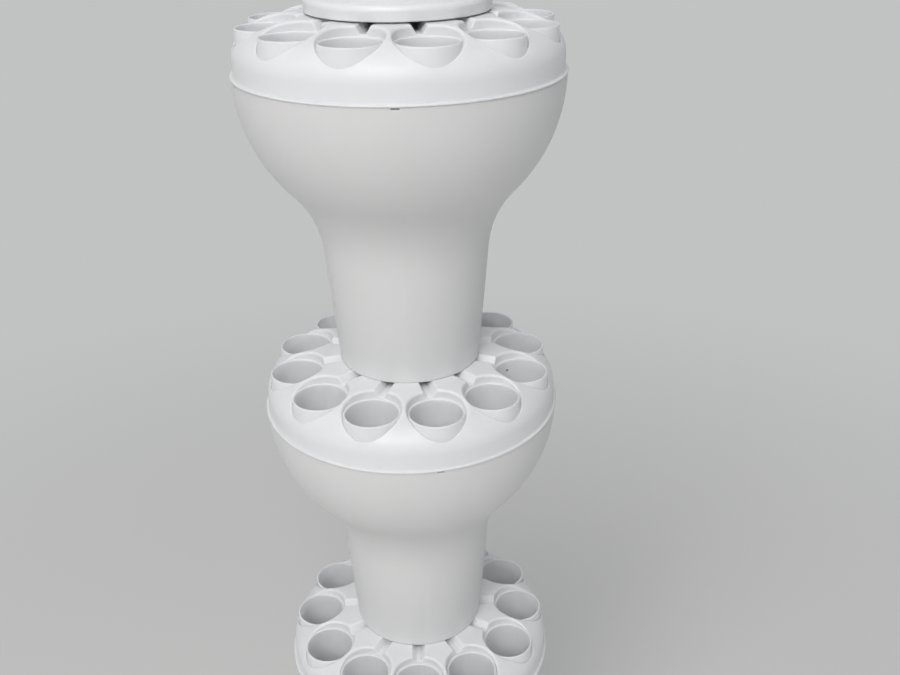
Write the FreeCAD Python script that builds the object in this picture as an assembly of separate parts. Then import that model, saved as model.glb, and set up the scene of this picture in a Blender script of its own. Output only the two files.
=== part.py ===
"""Vertical planter tower: three bowls with twelve-socket lids, stacked on a water tank.

Millimetres, +Z up. The origin is on the tower's axis, on the floor that the tank's pads stand on.
Water rises from a submersible pump in the tank through a pipe on the axis to a spray head under the
cap. It falls into the basin in the middle of each lid, runs out through one channel to each planting
socket, drips through the roots into the bowl, and leaves through the bowl's neck to the next lid.
"""
import FreeCAD
import Part
import math
import os

from FreeCAD import Vector

# Tiers: a bowl and its lid
TIER_COUNT = 3
LID_TURNS_DEG = [-19.0, -19.0, -2.0]      # how each lid is turned, top tier first
BOWL_TURNS_DEG = [-1.9, 9.3, 180.0]       # how each bowl is turned, top tier first

BOWL_RADIUS = 160.0
BOWL_HEIGHT = 302.5                       # from the neck's foot to the rim
BOWL_WALL = 3.0
NECK_FOOT_RADIUS = 75.5
NECK_DRAFT_DEG = 4.65
NECK_FILLET = 110.0                       # between the round bowl and its neck
PRY_NOTCH_WIDTH = 7.0
PRY_NOTCH_HEIGHT = 2.0

LID_RISE = 54.5                           # from the rim to the lid's flat
LID_WALL = 2.5
LID_FLAT_RADIUS = 96.0
LID_SIDE_HEIGHT = 18.0
LID_SIDE_INSET = 2.5                      # the lid's side stands back from the bowl's rim
LID_FLANGE_THICKNESS = 2.2
LID_FLANGE_OVERHANG = 0.8
LID_SKIRT_DEPTH = 9.0
SEAT_CLEARANCE = 0.5                      # radial, between a spigot and what it drops into

BASIN_STEP = 4.0                          # land between the locating ring and the basin
CHANNEL_DEPTH = 7.5
CHANNEL_TOP_WIDTH = 15.0
CHANNEL_FLOOR_WIDTH = 6.0
LOCATING_RING_HEIGHT = 5.0
LOCATING_RING_WALL = 2.2
BOSS_WALL = 5.5
BOSS_HEIGHT = 11.5                        # above the lid's flat

# Planting sockets in each lid
SOCKET_COUNT = 12
LIP_RADIUS = 28.6                         # outside
LIP_WALL = 2.0
LIP_DROP = 8.8                            # from the lid's flat down to the lip
LIP_STANDING = 1.2                        # lip above the ledge round it
SOCKET_DEPTH = 55.0
RECESS_GAP = 1.2                          # between the lip and the wall of its recess
RECESS_EASE = 1.6                         # blunting of the recess's edge
GROOVE_DEPTH = 3.5                        # of the recess's open front, below the lid's dome
SOCKET_EDGE_MARGIN = 6.2                  # from the recess to the bowl's rim

# Cap over the top lid
CAP_RADIUS = 88.0
CAP_RIM_HEIGHT = 14.0
CAP_RIM_GAP = 1.6                         # between the rim and the lid's flat
CAP_HEIGHT = 35.0                         # above the lid's flat
CAP_WALL = 2.5
CAP_EDGE_WIDTH = 5.0
CAP_EDGE_HEIGHT = 6.0

# Rising pipe and spray head
PIPE_RADIUS = 10.0
PIPE_WALL = 2.0
PIPE_RUNNING_CLEARANCE = 0.6
JOINER_ABOVE_LID = 115.0                  # a pipe joint lies this far above a lid's flat
JOINER_GRIP = 18.0
JOINER_WALL = 1.5
JOINER_FLANGE = 2.0
JOINER_CLEARANCE = 0.05
PIPE_ABOVE_BOSS = 6.0
HEAD_RADIUS = 36.0
HEAD_HEIGHT = 15.0                        # above the boss
HEAD_WALL = 2.5
HEAD_SLOT_WIDTH = 5.0
HEAD_SLOT_HEIGHT = 4.5
HEAD_SLEEVE_HEIGHT = 5.0                  # round the pipe, above the boss

# Tank
PAD_HEIGHT = 6.0
PAD_RADIUS = 14.0
PAD_COUNT = 6
PAD_INSET = 26.0                          # from the tank's foot to a pad's centre
TANK_FOOT_RADIUS = 176.0
TANK_RIM_RADIUS = 203.0
TANK_HEIGHT = 240.0
TANK_WALL = 3.5
TANK_FOOT_FILLET = 22.0
TANK_RIM_WIDTH = 8.0
TANK_RIM_THICKNESS = 4.0
TANK_LID_SKIRT_DEPTH = 10.0
TANK_DECK_RISE = 14.0                     # deck above the tank's rim
TANK_SHOULDER = 16.0
TANK_SEAT_RISE = 10.0                     # neck's seat above the deck
TANK_SEAT_FLARE = 12.0                    # width of the sweep from the deck up to the seat
RETURN_HOLE_RADIUS = 6.0
RETURN_HOLE_COUNT = 8

# Filling port and cable inlet in the tank's lid
PORT_PLACE_RADIUS = 152.0
PORT_TURN_DEG = 38.0
PORT_RADIUS = 24.0
PORT_COLLAR_HEIGHT = 5.0
PORT_COLLAR_WALL = 2.5
PLUG_DEPTH = 14.0
PLUG_WALL = 2.0
PLUG_CLEARANCE = 0.4
PLUG_HEAD_OVERHANG = 4.0
PLUG_HEAD_THICKNESS = 3.0
PLUG_BAR_HEIGHT = 10.0
PLUG_BAR_WIDTH = 5.0
PLUG_BAR_ROUNDING = 2.0
GROMMET_TURN_DEG = 180.0
GROMMET_RADIUS = 9.0
GROMMET_BORE_RADIUS = 3.5
GROMMET_LIP = 3.0
GROMMET_LIP_THICKNESS = 2.0

# Pump on the tank's floor
PUMP_FOOT_HEIGHT = 7.0
PUMP_FOOT_RADIUS = 8.0
PUMP_FOOT_EDGE = 1.0                      # thickness of the cup's edge
PUMP_FOOT_STEM = 2.0                      # height of the narrow part that the pump stands on
PUMP_FOOT_INSET = 1.0
PUMP_WIDTH = 48.0
PUMP_HEIGHT = 46.0
MOTOR_LENGTH = 52.0
PUMP_CORNER = 6.0
CHAMBER_RADIUS = 20.0                     # outside of the impeller's chamber
CHAMBER_LENGTH = 22.0
CHAMBER_WALL = 2.0
IMPELLER_RADIUS = 15.0
IMPELLER_HUB_RADIUS = 5.0
IMPELLER_WIDTH = 8.0
IMPELLER_BLADES = 6
IMPELLER_BLADE_THICKNESS = 1.6
ROTOR_RADIUS = 8.0
ROTOR_LENGTH = 30.0
ROTOR_CLEARANCE = 0.8
SHAFT_RADIUS = 1.5
SHAFT_CLEARANCE = 0.05
SHAFT_SOCKET = 3.0                        # how deep the shaft sits in the motor block
COVER_SOCKET = 2.0                        # and in the chamber's cover
COVER_THICKNESS = 3.0
COVER_SPOKES = 3
COVER_EYE_RADIUS = 9.0
COVER_SPOKE_WIDTH = 3.0
COVER_HUB_RADIUS = 3.5
STRAINER_LENGTH = 16.0
STRAINER_WALL = 2.0
STRAINER_SLOTS = 7
STRAINER_SLOT_WIDTH = 2.5
OUTLET_RADIUS = 8.0
OUTLET_BORE_RADIUS = 6.0
OUTLET_HEIGHT = 14.0
ADAPTER_WALL = 2.5
ADAPTER_GRIP = 16.0
ADAPTER_STOP = 3.0
FIT_CLEARANCE = 0.1                       # radial, in pushed-together fittings
GLAND_RADIUS = 5.0
GLAND_LENGTH = 8.0
GLAND_HOLE_DEPTH = 6.0

# Heights and radii that follow from the sizes above
TANK_FLOOR_Z = PAD_HEIGHT + TANK_WALL
TANK_RIM_Z = PAD_HEIGHT + TANK_HEIGHT
TANK_DECK_Z = TANK_RIM_Z + TANK_DECK_RISE
TANK_SEAT_Z = TANK_DECK_Z + TANK_SEAT_RISE
TANK_LEAN = (TANK_RIM_RADIUS - TANK_FOOT_RADIUS) / (TANK_HEIGHT - TANK_FOOT_FILLET)
TIER_PITCH = BOWL_HEIGHT + LID_RISE
RIM_Z = [TANK_SEAT_Z + BOWL_HEIGHT + TIER_PITCH * (TIER_COUNT - 1 - tier) for tier in range(TIER_COUNT)]
TOP_FLAT_Z = RIM_Z[0] + LID_RISE

NECK_INNER_RADIUS = NECK_FOOT_RADIUS - BOWL_WALL
RING_RADIUS = NECK_INNER_RADIUS - SEAT_CLEARANCE
BASIN_RADIUS = RING_RADIUS - LOCATING_RING_WALL - BASIN_STEP
BORE_RADIUS = PIPE_RADIUS + PIPE_RUNNING_CLEARANCE
BOSS_RADIUS = BORE_RADIUS + BOSS_WALL
RECESS_RADIUS = LIP_RADIUS + RECESS_GAP
SOCKET_RING_RADIUS = BOWL_RADIUS - SOCKET_EDGE_MARGIN - RECESS_RADIUS
LID_SIDE_RADIUS = BOWL_RADIUS - LID_SIDE_INSET
LID_SKIRT_RADIUS = BOWL_RADIUS - BOWL_WALL - SEAT_CLEARANCE
LIP_Z = LID_RISE - LIP_DROP
LEDGE_Z = LIP_Z - LIP_STANDING

PUMP_BASE_Z = TANK_FLOOR_Z + PUMP_FOOT_HEIGHT
PUMP_TOP_Z = PUMP_BASE_Z + PUMP_HEIGHT
PUMP_AXIS_Z = PUMP_BASE_Z + PUMP_HEIGHT / 2
MOTOR_X = CHAMBER_LENGTH / 2              # the motor's front face, behind the chamber
OUTLET_TOP_Z = PUMP_AXIS_Z + CHAMBER_RADIUS + OUTLET_HEIGHT
RISER_FOOT_Z = OUTLET_TOP_Z + ADAPTER_STOP
RISER_TOP_Z = TOP_FLAT_Z + BOSS_HEIGHT + PIPE_ABOVE_BOSS
JOINT_Z = [RIM_Z[tier] + LID_RISE + JOINER_ABOVE_LID for tier in range(TIER_COUNT - 1, 0, -1)]

UP = Vector(0, 0, 1)
ALONG_X = Vector(1, 0, 0)
EASE = 0.7                                # blunting of moulded edges
MARGIN = 5.0                              # how far a cutting tool runs past what it cuts
OVERLAP = 1.0                             # how far two shapes run into each other before they are joined
NEAR = 0.05                               # how near a point counts as on a surface


class Outline:
    """A closed outline in the X-Z plane, drawn as radius and height, to be turned about Z."""

    def __init__(self, radius, height):
        self.start = Vector(radius, 0, height)
        self.here = self.start
        self.edges = []

    def line(self, radius, height):
        end = Vector(radius, 0, height)
        self.edges.append(Part.makeLine(self.here, end))
        self.here = end
        return self

    def arc(self, mid_radius, mid_height, radius, height):
        end = Vector(radius, 0, height)
        middle = Vector(mid_radius, 0, mid_height)
        self.edges.append(Part.Arc(self.here, middle, end).toShape())
        self.here = end
        return self

    def bend(self, centre_radius, centre_height, radius, height):
        """Draws the shorter arc to a point, about a centre that both ends are equally far from."""
        centre = Vector(centre_radius, 0, centre_height)
        end = Vector(radius, 0, height)
        reach = (self.here - centre).Length
        middle = centre + ((self.here - centre) + (end - centre)).normalize() * reach
        return self.arc(middle.x, middle.z, radius, height)

    def quarter(self, radius, height, centre_radius, centre_height):
        """Draws a quarter of an upright ellipse to a point, about the given centre."""
        right = max(self.here.x, radius) > centre_radius
        above = max(self.here.z, height) > centre_height
        quadrant = (0 if right else 1) if above else (3 if right else 2)
        width = abs(self.here.x - radius)
        rise = abs(self.here.z - height)
        ellipse = Part.Ellipse(Vector(0, 0, 0), max(width, rise), min(width, rise))
        if rise > width:
            ellipse.rotate(FreeCAD.Placement(Vector(0, 0, 0), UP, 90))
            quadrant -= 1
        ellipse.rotate(FreeCAD.Placement(Vector(0, 0, 0), ALONG_X, 90))
        ellipse.Center = Vector(centre_radius, 0, centre_height)
        first = quadrant * math.pi / 2
        self.edges.append(Part.ArcOfEllipse(ellipse, first, first + math.pi / 2).toShape())
        self.here = Vector(radius, 0, height)
        return self

    def turned(self, degrees=360.0):
        self.line(self.start.x, self.start.z)
        wire = Part.Wire(Part.__sortEdges__(self.edges))
        return Part.Face(wire).revolve(Vector(0, 0, 0), UP, degrees)


def cylinder(radius, z_low, z_high, x=0.0, y=0.0):
    return Part.makeCylinder(radius, z_high - z_low, Vector(x, y, z_low))


def cylinder_x(radius, x_low, x_high, z):
    return Part.makeCylinder(radius, x_high - x_low, Vector(x_low, 0, z), ALONG_X)


def tube(outer, inner, z_low, z_high):
    return cylinder(outer, z_low, z_high).cut(cylinder(inner, z_low - MARGIN, z_high + MARGIN))


def box(x_low, x_high, y_low, y_high, z_low, z_high):
    corner = Vector(x_low, y_low, z_low)
    return Part.makeBox(x_high - x_low, y_high - y_low, z_high - z_low, corner)


def ring_of(shape, count, first_deg=0.0):
    """Copies of a shape, evenly spaced about Z."""
    copies = []
    for index in range(count):
        copy = shape.copy()
        copy.rotate(Vector(0, 0, 0), UP, first_deg + 360.0 * index / count)
        copies.append(copy)
    return copies


def around_socket(shape):
    """Moves a shape from Z to the first socket's axis, with +X pointing away from the tower."""
    moved = shape.copy()
    moved.translate(Vector(SOCKET_RING_RADIUS, 0, 0))
    return moved


def place(shape, height, turn_deg=0.0):
    """Lifts a shape, and turns it so that 0 degrees faces -Y, counting towards +X."""
    placed = shape.copy()
    placed.rotate(Vector(0, 0, 0), UP, turn_deg - 90.0)
    placed.translate(Vector(0, 0, height))
    return placed


def neck_fillet_points():
    """Centre and ends of the arc that joins the half-round bowl to the neck's cone."""
    slope = math.radians(NECK_DRAFT_DEG)
    along = Vector(math.sin(slope), 0, math.cos(slope))
    outward = Vector(math.cos(slope), 0, -math.sin(slope))
    foot = Vector(NECK_FOOT_RADIUS, 0, -BOWL_HEIGHT)
    offset_foot = foot + outward * NECK_FILLET
    reach = BOWL_RADIUS + NECK_FILLET
    half = offset_foot.dot(along)
    step = -half - math.sqrt(half * half - offset_foot.dot(offset_foot) + reach * reach)
    centre = offset_foot + along * step
    on_neck = centre - outward * NECK_FILLET
    on_bowl = centre * (BOWL_RADIUS / reach)
    return centre, on_neck, on_bowl


def make_bowl():
    """Half sphere and neck in one thin wall, with the rim at height 0."""
    centre, on_neck, on_bowl = neck_fillet_points()
    slope = math.radians(NECK_DRAFT_DEG)
    inward = Vector(-math.cos(slope), 0, math.sin(slope)) * BOWL_WALL
    inner_neck = on_neck + inward
    inner_bowl = on_bowl * ((BOWL_RADIUS - BOWL_WALL) / BOWL_RADIUS)
    inner_foot = NECK_FOOT_RADIUS - BOWL_WALL / math.cos(slope)
    outline = Outline(inner_foot, -BOWL_HEIGHT)
    outline.line(NECK_FOOT_RADIUS, -BOWL_HEIGHT)
    outline.line(on_neck.x, on_neck.z)
    outline.bend(centre.x, centre.z, on_bowl.x, on_bowl.z)
    outline.bend(0, 0, BOWL_RADIUS, 0)
    outline.line(BOWL_RADIUS - BOWL_WALL, 0)
    outline.bend(0, 0, inner_bowl.x, inner_bowl.z)
    outline.bend(centre.x, centre.z, inner_neck.x, inner_neck.z)
    bowl = outline.turned()
    notch = box(BOWL_RADIUS - 2 * BOWL_WALL, BOWL_RADIUS + MARGIN, -PRY_NOTCH_WIDTH / 2,
                PRY_NOTCH_WIDTH / 2, -PRY_NOTCH_HEIGHT, MARGIN)
    return bowl.cut(notch)


def lid_form():
    """The lid's outer form as one full solid."""
    outline = Outline(0, 0).line(LID_SIDE_RADIUS, 0).line(LID_SIDE_RADIUS, LID_SIDE_HEIGHT)
    outline.quarter(LID_FLAT_RADIUS, LID_RISE, LID_FLAT_RADIUS, LID_SIDE_HEIGHT)
    return outline.line(0, LID_RISE).turned()


def lid_height(radius):
    """Height of the lid's outer form at a distance from the tower's axis."""
    share = (radius - LID_FLAT_RADIUS) / (LID_SIDE_RADIUS - LID_FLAT_RADIUS)
    share = min(max(share, 0), 1)
    return LID_SIDE_HEIGHT + (LID_RISE - LID_SIDE_HEIGHT) * math.sqrt(1 - share * share)


def rim_outline(outline, radius, low, thickness):
    """Continues an outline round the blunt outer edge of a flange, from its underside to its top."""
    outline.line(radius - EASE, low)
    outline.line(radius, low + EASE)
    outline.line(radius, low + thickness - EASE)
    return outline.line(radius - EASE, low + thickness)


def seat_outline(outline, flat_z):
    """Continues an outline inward over a neck's seat: flat, locating ring, basin, boss and bore."""
    outline.line(RING_RADIUS, flat_z)
    outline.line(RING_RADIUS, flat_z + LOCATING_RING_HEIGHT - EASE)
    outline.line(RING_RADIUS - EASE, flat_z + LOCATING_RING_HEIGHT)
    outline.line(RING_RADIUS - LOCATING_RING_WALL, flat_z + LOCATING_RING_HEIGHT)
    outline.line(RING_RADIUS - LOCATING_RING_WALL, flat_z)
    outline.line(BASIN_RADIUS, flat_z)
    outline.line(BASIN_RADIUS, flat_z - CHANNEL_DEPTH)
    outline.line(BOSS_RADIUS, flat_z - CHANNEL_DEPTH)
    outline.line(BOSS_RADIUS, flat_z + BOSS_HEIGHT - EASE)
    outline.line(BOSS_RADIUS - EASE, flat_z + BOSS_HEIGHT)
    outline.line(BORE_RADIUS, flat_z + BOSS_HEIGHT)
    outline.line(BORE_RADIUS, flat_z - CHANNEL_DEPTH - LID_WALL)
    outline.line(BASIN_RADIUS + LID_WALL, flat_z - CHANNEL_DEPTH - LID_WALL)
    outline.line(BASIN_RADIUS + LID_WALL, flat_z - LID_WALL)
    return outline


def lid_shell():
    """The lid's thin wall before anything is cut: skirt, flange, side, dome and seat."""
    flange_radius = BOWL_RADIUS + LID_FLANGE_OVERHANG
    inner_radius = LID_SKIRT_RADIUS - LID_WALL
    outline = Outline(LID_SKIRT_RADIUS - EASE, -LID_SKIRT_DEPTH)
    outline.line(LID_SKIRT_RADIUS, -LID_SKIRT_DEPTH + EASE)
    outline.line(LID_SKIRT_RADIUS, 0)
    rim_outline(outline, flange_radius, 0, LID_FLANGE_THICKNESS)
    outline.line(LID_SIDE_RADIUS + EASE, LID_FLANGE_THICKNESS)
    outline.line(LID_SIDE_RADIUS, LID_FLANGE_THICKNESS + EASE)
    outline.line(LID_SIDE_RADIUS, LID_SIDE_HEIGHT)
    outline.quarter(LID_FLAT_RADIUS, LID_RISE, LID_FLAT_RADIUS, LID_SIDE_HEIGHT)
    seat_outline(outline, LID_RISE)
    outline.line(LID_FLAT_RADIUS, LID_RISE - LID_WALL)
    outline.quarter(inner_radius, LID_SIDE_HEIGHT, LID_FLAT_RADIUS, LID_SIDE_HEIGHT)
    outline.line(inner_radius, -LID_SKIRT_DEPTH)
    return outline.turned()


def channel(depth, floor_half, top_half, start, end, top_z):
    """A trapezoid prism along X with its wide side up."""
    points = [Vector(start, -floor_half, top_z - depth), Vector(start, floor_half, top_z - depth),
              Vector(start, top_half, top_z), Vector(start, -top_half, top_z)]
    face = Part.Face(Part.makePolygon(points + points[:1]))
    return face.extrude(Vector(end - start, 0, 0))


def socket_wall():
    """One planting socket: a sleeve with a blunt lip, open at the bottom."""
    bottom_z = LIP_Z - SOCKET_DEPTH
    outline = Outline(LIP_RADIUS, bottom_z)
    outline.line(LIP_RADIUS, LIP_Z - EASE)
    outline.line(LIP_RADIUS - EASE, LIP_Z)
    outline.line(LIP_RADIUS - LIP_WALL + EASE, LIP_Z)
    outline.line(LIP_RADIUS - LIP_WALL, LIP_Z - EASE)
    outline.line(LIP_RADIUS - LIP_WALL, bottom_z)
    return around_socket(outline.turned())


def recess_floor(depth):
    """Full solid under a recess: level inside, and outside it follows the lid's dome a little lower."""
    sunk = lid_form()
    sunk.translate(Vector(0, 0, -GROOVE_DEPTH - depth))
    above = cylinder(BOWL_RADIUS, LEDGE_Z - depth, LID_RISE + MARGIN)
    return sunk.cut(above)


def socket_housing():
    """Solid from a recess's floor up to the lid's surface, one wall wider and deeper than the recess."""
    housing = around_socket(cylinder(RECESS_RADIUS + LID_WALL, 0, LID_RISE))
    return housing.cut(recess_floor(LID_WALL))


def socket_recess():
    """What is cut out round one socket: the recess down to its floor and the hole for the sleeve."""
    top_z = LID_RISE + MARGIN
    recess = around_socket(cylinder(RECESS_RADIUS, 0, top_z)).cut(recess_floor(0))
    hole = cylinder(LIP_RADIUS - LIP_WALL / 2, LIP_Z - SOCKET_DEPTH, top_z)
    return recess.fuse(around_socket(hole))


def is_recess_edge(edge):
    """Whether an edge runs where the wall of a recess meets the lid's outer form."""
    first, last = edge.ParameterRange
    pitch = 2 * math.pi / SOCKET_COUNT
    for share in (0, 0.25, 0.5, 0.75, 1):
        point = edge.valueAt(first + (last - first) * share)
        turn = pitch * round(math.atan2(point.y, point.x) / pitch)
        centre_x = SOCKET_RING_RADIUS * math.cos(turn)
        centre_y = SOCKET_RING_RADIUS * math.sin(turn)
        off_wall = math.hypot(point.x - centre_x, point.y - centre_y) - RECESS_RADIUS
        off_form = point.z - lid_height(math.hypot(point.x, point.y))
        if abs(off_wall) > NEAR or abs(off_form) > NEAR:
            return False
    return True


def make_lid():
    """Twelve-socket lid, with the bowl's rim at height 0 and the first socket towards +X."""
    recess = socket_recess()
    housings = ring_of(socket_housing(), SOCKET_COUNT)
    housings = housings[0].fuse(housings[1:]).common(lid_form())
    body = lid_shell().fuse(housings).cut(ring_of(recess, SOCKET_COUNT)).removeSplitter()
    body = body.Solids[0]
    body = body.makeChamfer(RECESS_EASE, [edge for edge in body.Edges if is_recess_edge(edge)])

    reach = SOCKET_RING_RADIUS - RECESS_RADIUS + MARGIN
    trough = channel(CHANNEL_DEPTH + LID_WALL - RECESS_EASE, CHANNEL_FLOOR_WIDTH / 2 + LID_WALL,
                     CHANNEL_TOP_WIDTH / 2 + LID_WALL, BASIN_RADIUS, reach, LID_RISE - RECESS_EASE)
    groove = channel(CHANNEL_DEPTH, CHANNEL_FLOOR_WIDTH / 2, CHANNEL_TOP_WIDTH / 2,
                     BASIN_RADIUS - MARGIN, reach, LID_RISE)
    gate = box(BASIN_RADIUS, RING_RADIUS + MARGIN, -CHANNEL_TOP_WIDTH / 2, CHANNEL_TOP_WIDTH / 2,
               LID_RISE, LID_RISE + LOCATING_RING_HEIGHT + MARGIN)
    body = body.fuse(ring_of(trough.cut(recess), SOCKET_COUNT))
    body = body.cut(ring_of(groove.fuse(gate), SOCKET_COUNT))
    return body.fuse(ring_of(socket_wall(), SOCKET_COUNT)).removeSplitter()


def make_cap():
    """Cap with a deep rolled rim; its own foot stands on the lid's seat as a neck would."""
    rim_low = CAP_RIM_GAP
    rim_high = CAP_RIM_GAP + CAP_RIM_HEIGHT
    edge_z = rim_high - CAP_EDGE_HEIGHT
    crown_drop = CAP_HEIGHT - rim_high
    inner_rim = CAP_RADIUS - CAP_WALL
    inner_edge = inner_rim - CAP_EDGE_WIDTH
    foot_outer = NECK_FOOT_RADIUS
    foot_inner = NECK_INNER_RADIUS
    crown_reach = CAP_RADIUS - CAP_EDGE_WIDTH
    crown_radius = (crown_drop ** 2 + crown_reach ** 2) / (2 * crown_drop)
    crown_centre = CAP_HEIGHT - crown_radius

    def under_crown(radius):
        return crown_centre + math.sqrt((crown_radius - CAP_WALL) ** 2 - radius ** 2)

    outline = Outline(0, CAP_HEIGHT - CAP_WALL)
    outline.bend(0, crown_centre, foot_inner, under_crown(foot_inner))
    outline.line(foot_inner, 0)
    outline.line(foot_outer, 0)
    outline.line(foot_outer, under_crown(foot_outer))
    outline.bend(0, crown_centre, inner_edge, under_crown(inner_edge))
    outline.line(inner_rim, edge_z)
    outline.line(inner_rim, rim_low + EASE)
    outline.line(inner_rim + EASE, rim_low)
    outline.line(CAP_RADIUS - EASE, rim_low)
    outline.line(CAP_RADIUS, rim_low + EASE)
    outline.line(CAP_RADIUS, edge_z)
    outline.quarter(crown_reach, rim_high, crown_reach, edge_z)
    outline.bend(0, crown_centre, 0, CAP_HEIGHT)
    return place(outline.turned(), TOP_FLAT_Z)


def make_spray_head():
    """Closed disc that sits on the top lid's boss, centred by the pipe, with an outlet over each channel."""
    top = HEAD_HEIGHT
    sleeve_radius = BORE_RADIUS + HEAD_WALL
    outline = Outline(BORE_RADIUS, 0)
    outline.line(HEAD_RADIUS, 0).line(HEAD_RADIUS, top - EASE).line(HEAD_RADIUS - EASE, top)
    outline.line(0, top).line(0, top - HEAD_WALL)
    outline.line(HEAD_RADIUS - HEAD_WALL, top - HEAD_WALL)
    outline.line(HEAD_RADIUS - HEAD_WALL, HEAD_WALL).line(sleeve_radius, HEAD_WALL)
    outline.line(sleeve_radius, HEAD_SLEEVE_HEIGHT).line(BORE_RADIUS, HEAD_SLEEVE_HEIGHT)
    slot = box(HEAD_RADIUS - HEAD_WALL - MARGIN, HEAD_RADIUS + MARGIN, -HEAD_SLOT_WIDTH / 2,
               HEAD_SLOT_WIDTH / 2, HEAD_WALL, HEAD_WALL + HEAD_SLOT_HEIGHT)
    head = outline.turned().cut(ring_of(slot, SOCKET_COUNT))
    return place(head, TOP_FLAT_Z + BOSS_HEIGHT, LID_TURNS_DEG[0])


def make_joiner(middle_z):
    """Spigot inside two lengths of pipe, with a flange between their ends."""
    outer = PIPE_RADIUS - PIPE_WALL - JOINER_CLEARANCE
    half = JOINER_FLANGE / 2
    spigot = cylinder(outer, middle_z - half - JOINER_GRIP, middle_z + half + JOINER_GRIP)
    flange = cylinder(PIPE_RADIUS, middle_z - half, middle_z + half)
    bore = cylinder(outer - JOINER_WALL, middle_z - 2 * JOINER_GRIP, middle_z + 2 * JOINER_GRIP)
    return spigot.fuse(flange).cut(bore)


def make_pipe(z_low, z_high):
    return tube(PIPE_RADIUS, PIPE_RADIUS - PIPE_WALL, z_low, z_high)


def make_tank():
    """Round tub that widens upward, with a rim flange for its lid."""
    floor_z = PAD_HEIGHT
    corner = TANK_FOOT_FILLET
    rim_outer = TANK_RIM_RADIUS + TANK_RIM_WIDTH
    rim_low = TANK_RIM_Z - TANK_RIM_THICKNESS
    outline = Outline(0, floor_z)
    outline.line(TANK_FOOT_RADIUS - corner, floor_z)
    outline.quarter(TANK_FOOT_RADIUS, floor_z + corner, TANK_FOOT_RADIUS - corner, floor_z + corner)
    outline.line(TANK_RIM_RADIUS - TANK_LEAN * TANK_RIM_THICKNESS, rim_low)
    rim_outline(outline, rim_outer, rim_low, TANK_RIM_THICKNESS)
    outline.line(TANK_RIM_RADIUS - TANK_WALL, TANK_RIM_Z)
    outline.line(TANK_FOOT_RADIUS - TANK_WALL, floor_z + corner)
    outline.quarter(TANK_FOOT_RADIUS - corner, floor_z + TANK_WALL,
                    TANK_FOOT_RADIUS - corner, floor_z + corner)
    outline.line(0, floor_z + TANK_WALL)
    return outline.turned()


def make_pads():
    outline = Outline(0, 0).line(PAD_RADIUS - 2 * EASE, 0).line(PAD_RADIUS, 2 * EASE)
    pad = outline.line(PAD_RADIUS, PAD_HEIGHT).line(0, PAD_HEIGHT).turned()
    pad.translate(Vector(TANK_FOOT_RADIUS - PAD_INSET, 0, 0))
    return Part.makeCompound(ring_of(pad, PAD_COUNT))


def make_tank_lid():
    """Deck over the tank with a raised seat for the lowest bowl's neck."""
    rim_outer = TANK_RIM_RADIUS + TANK_RIM_WIDTH
    skirt = TANK_RIM_RADIUS - TANK_WALL - TANK_LEAN * TANK_LID_SKIRT_DEPTH - SEAT_CLEARANCE
    flange_z = TANK_RIM_Z + LID_FLANGE_THICKNESS
    shoulder_centre = TANK_RIM_RADIUS - TANK_SHOULDER
    seat_edge = LID_FLAT_RADIUS
    seat_foot = TANK_SEAT_FLARE
    outline = Outline(skirt, TANK_RIM_Z - TANK_LID_SKIRT_DEPTH)
    outline.line(skirt, TANK_RIM_Z)
    rim_outline(outline, rim_outer, TANK_RIM_Z, LID_FLANGE_THICKNESS)
    outline.line(TANK_RIM_RADIUS, flange_z)
    outline.quarter(shoulder_centre, TANK_DECK_Z, shoulder_centre, flange_z)
    outline.line(seat_edge + seat_foot, TANK_DECK_Z)
    outline.quarter(seat_edge, TANK_SEAT_Z, seat_edge + seat_foot, TANK_SEAT_Z)
    seat_outline(outline, TANK_SEAT_Z)
    under_deck = TANK_DECK_Z - LID_WALL
    outline.line(seat_edge - LID_WALL, TANK_SEAT_Z - LID_WALL)
    outline.line(seat_edge + seat_foot - LID_WALL, under_deck)
    outline.line(shoulder_centre, under_deck)
    outline.line(skirt - LID_WALL, TANK_RIM_Z)
    outline.line(skirt - LID_WALL, TANK_RIM_Z - TANK_LID_SKIRT_DEPTH)
    lid = outline.turned()
    drain_radius = (BOSS_RADIUS + BASIN_RADIUS) / 2
    drain = cylinder(RETURN_HOLE_RADIUS, TANK_DECK_Z - 4 * MARGIN, TANK_SEAT_Z + MARGIN, x=drain_radius)
    collar = cylinder(PORT_RADIUS + PORT_COLLAR_WALL, under_deck, TANK_DECK_Z + PORT_COLLAR_HEIGHT,
                      x=PORT_PLACE_RADIUS)
    port = cylinder(PORT_RADIUS, under_deck - MARGIN, TANK_DECK_Z + PORT_COLLAR_HEIGHT + MARGIN,
                    x=PORT_PLACE_RADIUS)
    inlet = cylinder(GROMMET_RADIUS, under_deck - MARGIN, TANK_DECK_Z + MARGIN, x=PORT_PLACE_RADIUS)
    lid = lid.fuse(place(collar, 0, PORT_TURN_DEG))
    lid = lid.cut([place(port, 0, PORT_TURN_DEG), place(inlet, 0, GROMMET_TURN_DEG)])
    return lid.cut(ring_of(drain, RETURN_HOLE_COUNT)).removeSplitter()


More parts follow.
